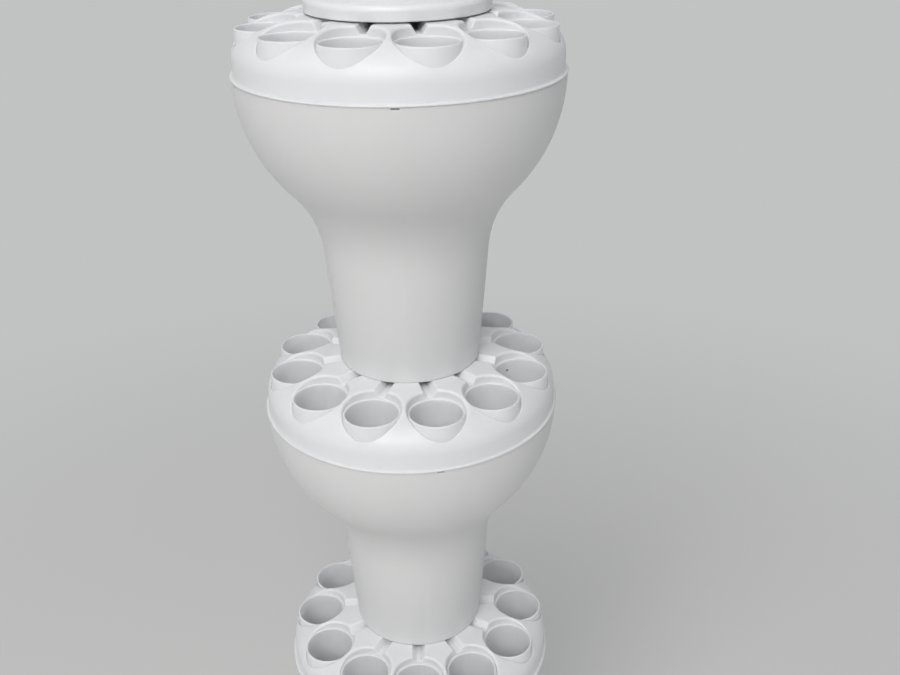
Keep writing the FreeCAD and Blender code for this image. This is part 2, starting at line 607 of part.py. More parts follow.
def make_fill_cap():
    """Push-in cap with a bar to pull it by."""
    sleeve = PORT_RADIUS - PLUG_CLEARANCE
    head_z = PORT_COLLAR_HEIGHT
    head_radius = PORT_RADIUS + PLUG_HEAD_OVERHANG
    head_top = head_z + PLUG_HEAD_THICKNESS
    outline = Outline(0, head_z)
    outline.line(sleeve - PLUG_WALL, head_z).line(sleeve - PLUG_WALL, head_z - PLUG_DEPTH)
    outline.line(sleeve, head_z - PLUG_DEPTH).line(sleeve, head_z)
    rim_outline(outline, head_radius, head_z, PLUG_HEAD_THICKNESS)
    outline.line(0, head_top)
    cap = outline.turned()
    half = PLUG_BAR_WIDTH / 2
    reach = PORT_RADIUS - PLUG_WALL
    bar_top = head_top + PLUG_BAR_HEIGHT
    bar = box(-reach, reach, -half, half, head_top - OVERLAP, bar_top)
    top_edges = [edge for edge in bar.Edges if abs(edge.CenterOfMass.z - bar_top) < NEAR]
    bar = bar.makeFillet(PLUG_BAR_ROUNDING, top_edges)
    cap = cap.fuse(bar)
    cap.translate(Vector(PORT_PLACE_RADIUS, 0, 0))
    return place(cap, TANK_DECK_Z, PORT_TURN_DEG)


def make_grommet():
    """Rubber ring that grips the edge of the cable inlet from both sides."""
    low = -LID_WALL
    lip = GROMMET_RADIUS + GROMMET_LIP
    thick = GROMMET_LIP_THICKNESS
    outline = Outline(GROMMET_BORE_RADIUS, low - thick)
    outline.line(lip - thick, low - thick).line(lip, low).line(GROMMET_RADIUS, low)
    outline.line(GROMMET_RADIUS, 0).line(lip, 0).line(lip - thick / 2, thick)
    outline.line(GROMMET_BORE_RADIUS, thick)
    grommet = outline.turned()
    grommet.translate(Vector(PORT_PLACE_RADIUS, 0, 0))
    return place(grommet, TANK_DECK_Z, GROMMET_TURN_DEG)


def rounded_block(x_low, x_high, width, z_low, z_high, corner):
    """Block along X with its four long edges rounded."""
    block = box(x_low, x_high, -width / 2, width / 2, z_low, z_high)
    long_edges = [edge for edge in block.Edges if abs(edge.tangentAt(edge.FirstParameter).x) > 0.9]
    return block.makeFillet(corner, long_edges)


def make_pump_housing():
    """Motor block with the rotor's well, the impeller's chamber and the outlet in one moulding."""
    motor_end = MOTOR_X + MOTOR_LENGTH
    motor = rounded_block(MOTOR_X, motor_end, PUMP_WIDTH, PUMP_BASE_Z, PUMP_TOP_Z, PUMP_CORNER)
    chamber = cylinder_x(CHAMBER_RADIUS, -MOTOR_X, MOTOR_X + OVERLAP, PUMP_AXIS_Z)
    outlet = cylinder(OUTLET_RADIUS, PUMP_AXIS_Z, OUTLET_TOP_Z)
    gland_z = PUMP_AXIS_Z + PUMP_HEIGHT / 4
    gland_end = motor_end + GLAND_LENGTH
    gland = cylinder_x(GLAND_RADIUS, motor_end - OVERLAP, gland_end, gland_z)
    cable_hole = cylinder_x(GROMMET_BORE_RADIUS, gland_end - GLAND_HOLE_DEPTH, gland_end + MARGIN, gland_z)
    hollow = cylinder_x(CHAMBER_RADIUS - CHAMBER_WALL, -MOTOR_X - MARGIN, MOTOR_X, PUMP_AXIS_Z)
    well_end = MOTOR_X + ROTOR_LENGTH + ROTOR_CLEARANCE
    well = cylinder_x(ROTOR_RADIUS + ROTOR_CLEARANCE, MOTOR_X - OVERLAP, well_end, PUMP_AXIS_Z)
    shaft_seat = cylinder_x(SHAFT_RADIUS, well_end - OVERLAP, well_end + SHAFT_SOCKET, PUMP_AXIS_Z)
    bore = cylinder(OUTLET_BORE_RADIUS, PUMP_AXIS_Z, OUTLET_TOP_Z + MARGIN)
    housing = motor.fuse([chamber, outlet, gland])
    return housing.cut([hollow, well, shaft_seat, bore, cable_hole]).removeSplitter()


def make_impeller():
    """Blades in front, magnet rotor behind, one bore right through."""
    blades_low = -IMPELLER_WIDTH / 2
    rotor_end = MOTOR_X + ROTOR_LENGTH
    hub = cylinder_x(IMPELLER_HUB_RADIUS, blades_low, MOTOR_X, PUMP_AXIS_Z)
    rotor = cylinder_x(ROTOR_RADIUS, MOTOR_X - ROTOR_CLEARANCE, rotor_end, PUMP_AXIS_Z)
    blades = []
    for index in range(IMPELLER_BLADES):
        blade = box(blades_low, IMPELLER_WIDTH / 2, -IMPELLER_BLADE_THICKNESS / 2,
                    IMPELLER_BLADE_THICKNESS / 2, PUMP_AXIS_Z, PUMP_AXIS_Z + IMPELLER_RADIUS)
        blade.rotate(Vector(0, 0, PUMP_AXIS_Z), ALONG_X, 360.0 * index / IMPELLER_BLADES)
        blades.append(blade)
    bore = cylinder_x(SHAFT_RADIUS + SHAFT_CLEARANCE, blades_low - MARGIN, rotor_end + MARGIN, PUMP_AXIS_Z)
    return hub.fuse([rotor] + blades).cut(bore).removeSplitter()


def make_shaft():
    well_end = MOTOR_X + ROTOR_LENGTH + ROTOR_CLEARANCE
    return cylinder_x(SHAFT_RADIUS, -MOTOR_X - COVER_SOCKET, well_end + SHAFT_SOCKET, PUMP_AXIS_Z)


def make_chamber_cover():
    """Front wall of the chamber: an eye for the water and the spokes that hold the shaft."""
    front = -MOTOR_X - COVER_THICKNESS
    plate = cylinder_x(CHAMBER_RADIUS, front, -MOTOR_X, PUMP_AXIS_Z)
    eye = cylinder_x(COVER_EYE_RADIUS, front - MARGIN, -MOTOR_X + MARGIN, PUMP_AXIS_Z)
    ring = plate.cut(eye)
    half = COVER_SPOKE_WIDTH / 2
    spoke_top = PUMP_AXIS_Z + COVER_EYE_RADIUS + OVERLAP
    spokes = []
    for index in range(COVER_SPOKES):
        spoke = box(front, -MOTOR_X, -half, half, PUMP_AXIS_Z, spoke_top)
        spoke.rotate(Vector(0, 0, PUMP_AXIS_Z), ALONG_X, 360.0 * (index + 0.5) / COVER_SPOKES)
        spokes.append(spoke)
    hub = cylinder_x(COVER_HUB_RADIUS, front, -MOTOR_X, PUMP_AXIS_Z)
    seat = cylinder_x(SHAFT_RADIUS, -MOTOR_X - COVER_SOCKET, -MOTOR_X + MARGIN, PUMP_AXIS_Z)
    return ring.fuse(spokes + [hub]).cut(seat).removeSplitter()


def make_strainer():
    """Hollow cage over the intake with slots in its front and open at the back."""
    back = -MOTOR_X - COVER_THICKNESS
    front = back - STRAINER_LENGTH
    shell = rounded_block(front, back, PUMP_WIDTH, PUMP_BASE_Z, PUMP_TOP_Z, PUMP_CORNER)
    hollow = rounded_block(front + STRAINER_WALL, back + MARGIN, PUMP_WIDTH - 2 * STRAINER_WALL,
                           PUMP_BASE_Z + STRAINER_WALL, PUMP_TOP_Z - STRAINER_WALL,
                           PUMP_CORNER - STRAINER_WALL)
    pitch = (PUMP_WIDTH - 2 * PUMP_CORNER) / STRAINER_SLOTS
    slots = []
    for index in range(STRAINER_SLOTS):
        middle = (index - (STRAINER_SLOTS - 1) / 2) * pitch
        slots.append(box(front - MARGIN, front + MARGIN, middle - STRAINER_SLOT_WIDTH / 2,
                         middle + STRAINER_SLOT_WIDTH / 2, PUMP_BASE_Z + PUMP_CORNER,
                         PUMP_TOP_Z - PUMP_CORNER))
    return shell.cut([hollow] + slots)


def make_pump_feet():
    """Suction feet: flared cups under the four corners of the motor block."""
    stem = PUMP_FOOT_RADIUS / 2
    outline = Outline(0, PUMP_FOOT_EDGE)
    outline.line(PUMP_FOOT_RADIUS, 0).line(PUMP_FOOT_RADIUS, PUMP_FOOT_EDGE)
    outline.line(stem, PUMP_FOOT_HEIGHT - PUMP_FOOT_STEM).line(stem, PUMP_FOOT_HEIGHT)
    foot = outline.line(0, PUMP_FOOT_HEIGHT).turned()
    across = PUMP_WIDTH / 2 - PUMP_FOOT_RADIUS - PUMP_FOOT_INSET
    feet = []
    for x in (MOTOR_X + PUMP_FOOT_RADIUS, MOTOR_X + MOTOR_LENGTH - PUMP_FOOT_RADIUS):
        for y in (-across, across):
            copy = foot.copy()
            copy.translate(Vector(x, y, TANK_FLOOR_Z))
            feet.append(copy)
    return Part.makeCompound(feet)


def make_adapter():
    """Two-ended fitting: slips over the pump's outlet and takes the pipe's foot on a stop."""
    outer = PIPE_RADIUS + FIT_CLEARANCE + ADAPTER_WALL
    low = PUMP_TOP_Z + SEAT_CLEARANCE
    body = cylinder(outer, low, RISER_FOOT_Z + ADAPTER_GRIP)
    lower = cylinder(OUTLET_RADIUS + FIT_CLEARANCE, low - MARGIN, OUTLET_TOP_Z)
    way = cylinder(OUTLET_BORE_RADIUS, OUTLET_TOP_Z - OVERLAP, RISER_FOOT_Z + OVERLAP)
    upper = cylinder(PIPE_RADIUS + FIT_CLEARANCE, RISER_FOOT_Z, RISER_FOOT_Z + ADAPTER_GRIP + MARGIN)
    return body.cut([lower, way, upper])


def make_all():
    half_flange = JOINER_FLANGE / 2
    nodes = {
        "tank": make_tank(),
        "tank_foot_pads": make_pads(),
        "tank_lid": make_tank_lid(),
        "fill_cap": make_fill_cap(),
        "cable_grommet": make_grommet(),
        "pump_housing": make_pump_housing(),
        "pump_chamber_cover": make_chamber_cover(),
        "pump_strainer": make_strainer(),
        "pump_impeller": make_impeller(),
        "pump_shaft": make_shaft(),
        "pump_feet": make_pump_feet(),
        "riser_adapter": make_adapter(),
        "riser_lower": make_pipe(RISER_FOOT_Z, JOINT_Z[0] - half_flange),
        "riser_joiner_lower": make_joiner(JOINT_Z[0]),
        "riser_middle": make_pipe(JOINT_Z[0] + half_flange, JOINT_Z[1] - half_flange),
        "riser_joiner_upper": make_joiner(JOINT_Z[1]),
        "riser_upper": make_pipe(JOINT_Z[1] + half_flange, RISER_TOP_Z),
        "spray_head": make_spray_head(),
        "top_cap": make_cap(),
    }
    bowl = make_bowl()
    lid = make_lid()
    for tier in range(TIER_COUNT):
        number = tier + 1
        nodes["bowl_%d" % number] = place(bowl, RIM_Z[tier], BOWL_TURNS_DEG[tier])
        nodes["lid_%d" % number] = place(lid, RIM_Z[tier], LID_TURNS_DEG[tier])
    return nodes


os.makedirs("parts", exist_ok=True)
for name, shape in make_all().items():
    shape.exportStep("parts/%s.step" % name)
    print("%-20s solids %2d  valid %s  volume %10.0f mm3" % (
        name, len(shape.Solids), shape.isValid(), shape.Volume))
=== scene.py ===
# %% [markdown]
# # A vertical planter tower
#
# The tower is a stack of white moulded bowls. Each bowl is closed by a lid with twelve planting
# sockets, and the whole stack stands on a water tank with a pump inside. This lesson dresses the packed
# model: the shapes come from the construction, and here they get their plastic, rubber and steel, a
# soft studio and a camera. All lengths are in metres.

# %% The tools of this lesson
import math

import bpy
from mathutils import Matrix, Vector


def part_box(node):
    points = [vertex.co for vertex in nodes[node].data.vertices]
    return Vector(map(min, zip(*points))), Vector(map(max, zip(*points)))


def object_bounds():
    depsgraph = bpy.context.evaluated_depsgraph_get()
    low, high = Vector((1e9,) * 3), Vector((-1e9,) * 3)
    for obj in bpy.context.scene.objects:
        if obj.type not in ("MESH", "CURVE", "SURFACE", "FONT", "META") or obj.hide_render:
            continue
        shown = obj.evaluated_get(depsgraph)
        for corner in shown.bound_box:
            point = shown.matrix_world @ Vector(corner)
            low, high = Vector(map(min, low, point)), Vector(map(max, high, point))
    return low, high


MM = 0.001
print("Blender", bpy.app.version_string)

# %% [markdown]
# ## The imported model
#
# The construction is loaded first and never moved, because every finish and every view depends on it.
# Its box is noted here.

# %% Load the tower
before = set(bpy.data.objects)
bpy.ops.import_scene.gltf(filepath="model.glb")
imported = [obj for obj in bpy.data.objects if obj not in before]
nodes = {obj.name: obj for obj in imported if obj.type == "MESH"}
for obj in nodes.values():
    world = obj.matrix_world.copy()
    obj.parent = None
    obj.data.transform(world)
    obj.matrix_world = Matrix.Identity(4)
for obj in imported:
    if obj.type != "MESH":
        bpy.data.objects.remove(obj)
cad_box = [list(corner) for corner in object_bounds()]
tower_height = cad_box[1][2] - cad_box[0][2]
print(f"{len(nodes)} nodes, {tower_height:.3f} m tall")

# %% [markdown]
# ## Node helpers
#
# Materials and shared effects are node trees. They could be wired by hand in the shader editor, but
# code can be read, repeated and changed. Two helpers add a node and fill its inputs in a single call,
# so that the cells below stay short.

# %% Helpers for nodes


def fill_inputs(tree, node, **inputs):
    """An input is a value or another node's output. _0 names a socket by its place, and _ is a space."""
    for name, value in inputs.items():
        key = int(name[1:]) if name[1:].isdigit() else name.replace("_", " ")
        if isinstance(value, bpy.types.NodeSocket):
            tree.links.new(value, node.inputs[key])
        else:
            node.inputs[key].default_value = value


def add_node(tree, kind, settings=None, **inputs):
    """Adds a node with its settings and inputs."""
    node = tree.nodes.new(kind)
    for name, value in (settings or {}).items():
        setattr(node, name, value)
    fill_inputs(tree, node, **inputs)
    return node


print("node helpers: fill_inputs, add_node")

# %% [markdown]
# ## Group helpers
#
# Dust, specks and wear look alike on every plastic part. Each of them could be wired again in every
# material, but a node group is built once and then placed where it is needed, with that material's own
# values. The first helper builds a group with named sockets, and the second places one.

# %% Helpers for shared groups


def new_group(name, inputs, outputs):
    """An empty shader node group. The sockets are given as name: kind, or name: (kind, default)."""
    tree = bpy.data.node_groups.new(name, "ShaderNodeTree")
    for socket_name, kind in inputs.items():
        kind, default = kind if isinstance(kind, tuple) else (kind, None)
        socket = tree.interface.new_socket(socket_name, in_out="INPUT", socket_type="NodeSocket" + kind)
        if default is not None:
            socket.default_value = default
    for socket_name, kind in outputs.items():
        tree.interface.new_socket(socket_name, in_out="OUTPUT", socket_type="NodeSocket" + kind)
    return tree, tree.nodes.new("NodeGroupInput").outputs, tree.nodes.new("NodeGroupOutput").inputs


def place_group(tree, group, **inputs):
    """Places a shared effect in a material and gives its outputs."""
    return add_node(tree, "ShaderNodeGroup", {"node_tree": group}, **inputs).outputs


print("group helpers: new_group, place_group")

# %% [markdown]
# ## Arithmetic and noise
#
# Every effect below is some arithmetic on noise and on the direction of the surface. The noise is read
# in the piece's own coordinates. It needs no unwrapping, and it travels with the piece when a joint
# moves.

# %% Helpers for arithmetic


def maths(tree, operation, first, second=0.0, third=0.0):
    """One step of arithmetic on one to three values."""
    node = add_node(tree, "ShaderNodeMath", {"operation": operation}, _0=first, _1=second, _2=third)
    return node.outputs[0]


def measure(tree, operation, first, second=(0.0, 0.0, 0.0)):
    """One number from one or two vectors, such as a length or a dot product."""
    node = add_node(tree, "ShaderNodeVectorMath", {"operation": operation}, _0=first, _1=second)
    return node.outputs["Value"]


def ramp(tree, value, low, high, low_out=0.0, high_out=1.0):
    """A smooth step from low_out to high_out while the value goes from low to high."""
    return add_node(
        tree,
        "ShaderNodeMapRange",
        {"interpolation_type": "SMOOTHSTEP"},
        Value=value,
        From_Min=low,
        From_Max=high,
        To_Min=low_out,
        To_Max=high_out,
    ).outputs[0]


print("arithmetic helpers: maths, measure, ramp")

# %% Helpers for noise
# How many finer layers of noise lie over the first one.
SMOOTH = 1.0
CLOUDY = 2.0
BROKEN = 3.0
RAGGED = 4.0

# How strong each finer layer is, as a share of the one before.
EVEN_LAYERS = 0.5

# Most of the noise lies between the low and the high value.
NOISE_LOW = 0.3
NOISE_MIDDLE = 0.5
NOISE_HIGH = 0.7


def place_in_object(tree):
    """Where a point lies in its own piece."""
    return add_node(tree, "ShaderNodeTexCoord").outputs["Object"]


def noise(tree, place, size, detail=CLOUDY, roughness=EVEN_LAYERS):
    """Noise whose blobs are about this size."""
    return add_node(
        tree,
        "ShaderNodeTexNoise",
        Vector=place,
        Scale=1.0 / size,
        Detail=detail,
        Roughness=roughness,
    ).outputs[0]


print("noise helpers: place_in_object, noise")

# %% [markdown]
# ## Shared effect: moulded skin
#
# Injection moulded plastic is never quite flat or even. The melt leaves a faint long waviness, the
# steel of the mould prints a fine orange peel, and the colour has slow cloudy changes of a percent or
# two. Bump at the right scale shows this better than a picture would. Sizes are in metres, so the skin
# is equally fine on a small cap and a large bowl.

# %% Build the moulded skin group
MOTTLE_SIZE = 90 * MM
WAVE_SIZE = 26 * MM
PEEL_SIZE = 1.3 * MM
GLOSSY_SPOT = 0.9
DULL_SPOT = 1.12

moulded_skin, given, made = new_group(
    "moulded_skin",
    {
        "Color": ("Color", (0.8, 0.8, 0.8, 1.0)),
        "Roughness": ("Float", 0.35),
        "Mottle": ("Float", 0.03),
        "Wave Depth": ("Float", 0.03),
        "Peel Depth": ("Float", 0.01),
    },
    {"Color": "Color", "Roughness": "Float", "Height": "Float"},
)
place = place_in_object(moulded_skin)
clouds = noise(moulded_skin, place, MOTTLE_SIZE, RAGGED)
waves = noise(moulded_skin, place, WAVE_SIZE, SMOOTH)
peel = noise(moulded_skin, place, PEEL_SIZE, BROKEN)
darker = maths(moulded_skin, "MULTIPLY", clouds, given["Mottle"])
shade = maths(moulded_skin, "SUBTRACT", 1.0, darker)
scaling = {"operation": "SCALE"}
tinted = add_node(moulded_skin, "ShaderNodeVectorMath", scaling, _0=given["Color"], Scale=shade)
moulded_skin.links.new(tinted.outputs[0], made["Color"])
uneven = ramp(moulded_skin, clouds, NOISE_LOW, NOISE_HIGH, GLOSSY_SPOT, DULL_SPOT)
rough = maths(moulded_skin, "MULTIPLY", uneven, given["Roughness"])
moulded_skin.links.new(rough, made["Roughness"])
wave_height = maths(moulded_skin, "MULTIPLY", waves, given["Wave Depth"])
skin_height = maths(moulded_skin, "MULTIPLY_ADD", peel, given["Peel Depth"], wave_height)
moulded_skin.links.new(skin_height, made["Height"])
print("moulded_skin:", len(moulded_skin.nodes), "nodes")

# %% [markdown]
# ## Shared effect: dust
#
# Dust settles on what faces up, a little more in some places than in others. It could be painted by
# hand, but then it would not follow a change of shape. This group takes the upward part of the normal
# instead, and breaks it up with noise. It gives a mask, and each material decides how much the mask
# greys its colour and dulls its gloss.

# %% Build the settled dust group
DUST_PATCH = 40 * MM
DUST_GRAIN = 0.9 * MM

# The upward part of the normal where dust begins to lie, and where it lies fully.
LEVEL_START = 0.25
LEVEL_FULL = 0.95

# The noise where grains begin and are full, and how much dust lies between them and in them.
GRAIN_START = 0.35
GRAIN_FULL = 0.65
THIN_DUST = 0.4
THICK_DUST = 1.0

settled_dust, given, made = new_group("settled_dust", {"Amount": ("Float", 0.3)}, {"Mask": "Float"})
place = place_in_object(settled_dust)
normal = add_node(settled_dust, "ShaderNodeNewGeometry").outputs["Normal"]
up = add_node(settled_dust, "ShaderNodeSeparateXYZ", Vector=normal).outputs["Z"]
facing_up = ramp(settled_dust, up, LEVEL_START, LEVEL_FULL)
patch_noise = noise(settled_dust, place, DUST_PATCH, BROKEN)
patches = ramp(settled_dust, patch_noise, NOISE_LOW, NOISE_HIGH)
grain_noise = noise(settled_dust, place, DUST_GRAIN)
grains = ramp(settled_dust, grain_noise, GRAIN_START, GRAIN_FULL, THIN_DUST, THICK_DUST)
broken = maths(settled_dust, "MULTIPLY", patches, grains)
dusty = maths(settled_dust, "MULTIPLY", facing_up, broken)
settled_dust.links.new(maths(settled_dust, "MULTIPLY", dusty, given["Amount"]), made["Mask"])
print("settled_dust:", len(settled_dust.nodes), "nodes")

# %% [markdown]
# ## Shared effect: specks
#
# White plastic shows every small dark speck, and the real tower has a few on each bowl. Tiny discs on
# the surface would show them too, but they would be many more pieces. A Voronoi texture scatters one
# point in each cell of space. Only the cells with a low random number keep their point, and the
# distance to it makes a round speck with a soft edge.

# %% Build the specks group
SPECK_CELL = 52 * MM
SPECK_EDGE = 0.012  # a share of the cell's width, as the speck's own size is

specks, given, made = new_group(
    "specks",
    {"Share": ("Float", 0.25), "Size": ("Float", 0.02)},
    {"Mask": "Float"},
)
cells = add_node(
    specks,
    "ShaderNodeTexVoronoi",
    {"feature": "F1"},
    Vector=place_in_object(specks),
    Scale=1.0 / SPECK_CELL,
)
chance = add_node(specks, "ShaderNodeSeparateColor", Color=cells.outputs["Color"]).outputs["Red"]
kept_cell = maths(specks, "LESS_THAN", chance, given["Share"])
edge = maths(specks, "ADD", given["Size"], SPECK_EDGE)
gap = maths(specks, "SUBTRACT", edge, cells.outputs["Distance"])
inside = maths(specks, "DIVIDE", gap, SPECK_EDGE)
clamped = add_node(specks, "ShaderNodeClamp", Value=inside).outputs[0]
specks.links.new(maths(specks, "MULTIPLY", clamped, kept_cell), made["Mask"])
print("specks:", len(specks.nodes), "nodes")

# %% [markdown]
# ## Shared effect: fine scuffs
#
# The bowls are turned and the lids are lifted by hand, and each time they rub and leave hairlines.
# These could be drawn one by one, but here noise draws them: a line appears where the noise passes its
# middle value, like a contour on a map. Larger patches decide where the hairlines gather. They dull the
# gloss a little, which only shows where light is reflected.

# %% Build the fine scuffs group
SCUFF_SIZE = 22 * MM
SCUFF_PATCH = 75 * MM
SCUFF_WIDTH = 0.006
SCUFF_LAYERS = 0.6
GATHER_START = 0.45
GATHER_FULL = 0.62

fine_scuffs, given, made = new_group("fine_scuffs", {"Amount": ("Float", 0.5)}, {"Mask": "Float"})
place = place_in_object(fine_scuffs)
drift = noise(fine_scuffs, place, SCUFF_SIZE, RAGGED, SCUFF_LAYERS)
from_middle = maths(fine_scuffs, "ABSOLUTE", maths(fine_scuffs, "SUBTRACT", drift, NOISE_MIDDLE))
hairline = ramp(fine_scuffs, from_middle, 0.0, SCUFF_WIDTH, 1.0, 0.0)
gathered = ramp(fine_scuffs, noise(fine_scuffs, place, SCUFF_PATCH), GATHER_START, GATHER_FULL)
scuffed = maths(fine_scuffs, "MULTIPLY", hairline, gathered)
fine_scuffs.links.new(maths(fine_scuffs, "MULTIPLY", scuffed, given["Amount"]), made["Mask"])
print("fine_scuffs:", len(fine_scuffs.nodes), "nodes")

# %% [markdown]
# ## Shared effect: edge wear and painted edge highlight
#
# Hands and neighbouring parts polish the edges first. The mesh's pointiness would show the edges, but
# only where the mesh is fine. A Bevel node in the material gives a normal that turns softly over each
# edge. Where it differs from the true normal there is an edge, so this group compares the two and
# breaks the line up with noise. The material is smoother there from wear, and paler there, which is
# partly wear and partly a painted highlight on the edges.

# %% Build the edge wear and painted highlight group
EDGE_PATCH = 14 * MM
EDGE_SHARP = 0.93
EDGE_FLAT = 0.995
EDGE_PATCH_START = 0.35
EDGE_PATCH_FULL = 0.6

edge_wear_and_highlight, given, made = new_group(
    "edge_wear_and_highlight",
    {"Rounded Normal": "Vector", "Amount": ("Float", 0.5)},
    {"Mask": "Float"},
)
true_normal = add_node(edge_wear_and_highlight, "ShaderNodeNewGeometry").outputs["Normal"]
likeness = measure(edge_wear_and_highlight, "DOT_PRODUCT", given["Rounded Normal"], true_normal)
edge = ramp(edge_wear_and_highlight, likeness, EDGE_SHARP, EDGE_FLAT, 1.0, 0.0)
edge_patch_noise = noise(edge_wear_and_highlight, place_in_object(edge_wear_and_highlight), EDGE_PATCH, BROKEN)
edge_patches = ramp(edge_wear_and_highlight, edge_patch_noise, EDGE_PATCH_START, EDGE_PATCH_FULL)
worn_and_highlit = maths(edge_wear_and_highlight, "MULTIPLY", edge, edge_patches)
edge_wear_and_highlight.links.new(maths(edge_wear_and_highlight, "MULTIPLY", worn_and_highlit, given["Amount"]), made["Mask"])
print("edge_wear_and_highlight:", len(edge_wear_and_highlight.nodes), "nodes")

# %% [markdown]
# ## Helpers for materials
#
# A finish is a Principled shader, and the masks of the groups change its colour and roughness. One
# helper makes the material, and two mix colours or values by a mask.

# %% Helpers for materials


def new_material(name):
    """A material, its node tree and its Principled shader."""
    material = bpy.data.materials.new(name)
    material.use_nodes = True
    tree = material.node_tree
    return material, tree, tree.nodes["Principled BSDF"]


def blend_tones(tree, share, first, second):
    """Mixes two colours by a mask."""
    settings = {"data_type": "RGBA"}
    return add_node(tree, "ShaderNodeMix", settings, _0=share, _6=first, _7=second).outputs[2]


def blend_values(tree, share, first, second):
    """Mixes two values by a mask."""
    return add_node(tree, "ShaderNodeMix", _0=share, _2=first, _3=second).outputs[0]


print("material helpers: new_material, blend_tones, blend_values")

# %% [markdown]
# ## Plastic and rubber
#
# All moulded parts share one recipe and differ in a few values: the colour, the gloss, the coat, the
# glow, the peel and how many specks they carry. Separate recipes could do the same, but then a change
# to the dust would have to be made in each. White plastic lets some light in, so thin rims and sleeves
# glow softly, and subsurface scattering shows that. The shader itself stays in the material. The colour
# changes and the masks come from the groups.

# %% What all moulded parts share
PLASTIC_IOR = 1.49
COAT_ROUGHNESS = 0.12
GLOW_REACH = (6.0 * MM, 6.0 * MM, 6.5 * MM)
GLOW_SCALE = 1.0  # the reach is in metres already
MOTTLE = 0.03
WAVE_DEPTH = 0.02
FINE_PEEL = 0.012
COARSE_PEEL = 0.05
BUMP_DEPTH = 1.0 * MM
EDGE_ROUNDING = 1.6 * MM
EDGE_SAMPLES = 6
WEAR_AND_HIGHLIGHT_AMOUNT = 0.5
# How much paler the edges are: partly wear, partly a painted highlight.
WEAR_AND_HIGHLIGHT_LIFT = 0.05
WORN_ROUGHNESS = 0.24
SCUFF_AMOUNT = 0.2
SCUFF_ROUGHNESS = 0.62
DUST_AMOUNT = 0.12
DUST_TONE = (0.47, 0.45, 0.42, 1.0)
DUST_ROUGHNESS = 0.75
SPECK_TONE = (0.19, 0.17, 0.15, 1.0)
print(f"edges are rounded by {EDGE_ROUNDING / MM:.1f} mm, light reaches {GLOW_REACH[0] / MM:.0f} mm in")

# %% A moulded material


def moulded_plastic(name, color, roughness, speck_share=0.0, coat=0.0, glow=0.6, peel=FINE_PEEL):
    """A finish for one kind of moulded part. Shares run from 0 to 1, and the peel is in millimetres."""
    material, tree, shader = new_material(name)
    fill_inputs(
        tree,
        shader,
        IOR=PLASTIC_IOR,
        Coat_Weight=coat,
        Coat_Roughness=COAT_ROUGHNESS,
        Subsurface_Weight=glow,
        Subsurface_Radius=GLOW_REACH,
        Subsurface_Scale=GLOW_SCALE,
    )
    skin = place_group(
        tree,
        moulded_skin,
        Color=(*color, 1.0),
        Roughness=roughness,
        Mottle=MOTTLE,
        Wave_Depth=WAVE_DEPTH,
        Peel_Depth=peel,
    )
    bevel = add_node(tree, "ShaderNodeBevel", {"samples": EDGE_SAMPLES}, Radius=EDGE_ROUNDING)
    soft_edge = bevel.outputs[0]
    dust_mask = place_group(tree, settled_dust, Amount=DUST_AMOUNT)["Mask"]
    speck_mask = place_group(tree, specks, Share=speck_share)["Mask"]
    scuff_mask = place_group(tree, fine_scuffs, Amount=SCUFF_AMOUNT)["Mask"]
    wear_and_highlight_mask = place_group(tree, edge_wear_and_highlight, Rounded_Normal=soft_edge, Amount=WEAR_AND_HIGHLIGHT_AMOUNT)["Mask"]
    # The edges are made paler: partly wear, partly a painted highlight.
    wear_and_highlight_tone = (*(part + WEAR_AND_HIGHLIGHT_LIFT for part in color), 1.0)
    worn_and_highlit = blend_tones(tree, wear_and_highlight_mask, skin["Color"], wear_and_highlight_tone)
    dusty = blend_tones(tree, dust_mask, worn_and_highlit, DUST_TONE)
    speckled = blend_tones(tree, speck_mask, dusty, SPECK_TONE)
    polished = blend_values(tree, wear_and_highlight_mask, skin["Roughness"], WORN_ROUGHNESS)
    scuffed = blend_values(tree, scuff_mask, polished, SCUFF_ROUGHNESS)
    dull = blend_values(tree, dust_mask, scuffed, DUST_ROUGHNESS)
    bump = add_node(tree, "ShaderNodeBump", Height=skin["Height"], Distance=BUMP_DEPTH, Normal=soft_edge)
    fill_inputs(tree, shader, Base_Color=speckled, Roughness=dull, Normal=bump.outputs[0])
    return material


print("recipe for moulded parts: moulded_plastic")

# %% [markdown]
# ## The white parts
#
# The lids and the cap are the newest looking parts: a cooler white and a slight gloss from the polished
# mould. The bowls are a plain matt white with more specks. The tank's parts and the pipe are a little
# greyer. One white for all would be simpler, but side by side such small steps are seen.

# %% Finishes of the white parts
LID_WHITE = (0.915, 0.925, 0.95)
BOWL_WHITE = (0.815, 0.813, 0.811)
TANK_WHITE = (0.77, 0.775, 0.78)
TANK_LID_WHITE = (0.80, 0.805, 0.81)
PIPE_WHITE = (0.74, 0.745, 0.74)

finishes = {}
finishes["bowl_white"] = moulded_plastic(
    "bowl white plastic", BOWL_WHITE, roughness=0.5, speck_share=0.16
)
finishes["lid_white"] = moulded_plastic(
    "lid white plastic", LID_WHITE, roughness=0.42, speck_share=0.03, coat=0.06
)
finishes["cap_white"] = moulded_plastic(
    "cap white plastic", LID_WHITE, roughness=0.36, speck_share=0.03, coat=0.1
)
finishes["tank_white"] = moulded_plastic(
    "tank white plastic", TANK_WHITE, roughness=0.45, speck_share=0.12
)
finishes["tank_lid_white"] = moulded_plastic(
    "tank lid plastic", TANK_LID_WHITE, roughness=0.38, speck_share=0.06
)
finishes["fill_cap_white"] = moulded_plastic(
    "filling cap plastic", TANK_LID_WHITE, roughness=0.35, speck_share=0.04
)
finishes["pipe_white"] = moulded_plastic(
    "pipe white plastic", PIPE_WHITE, roughness=0.33, speck_share=0.02
)
print("white finishes:", len(finishes))

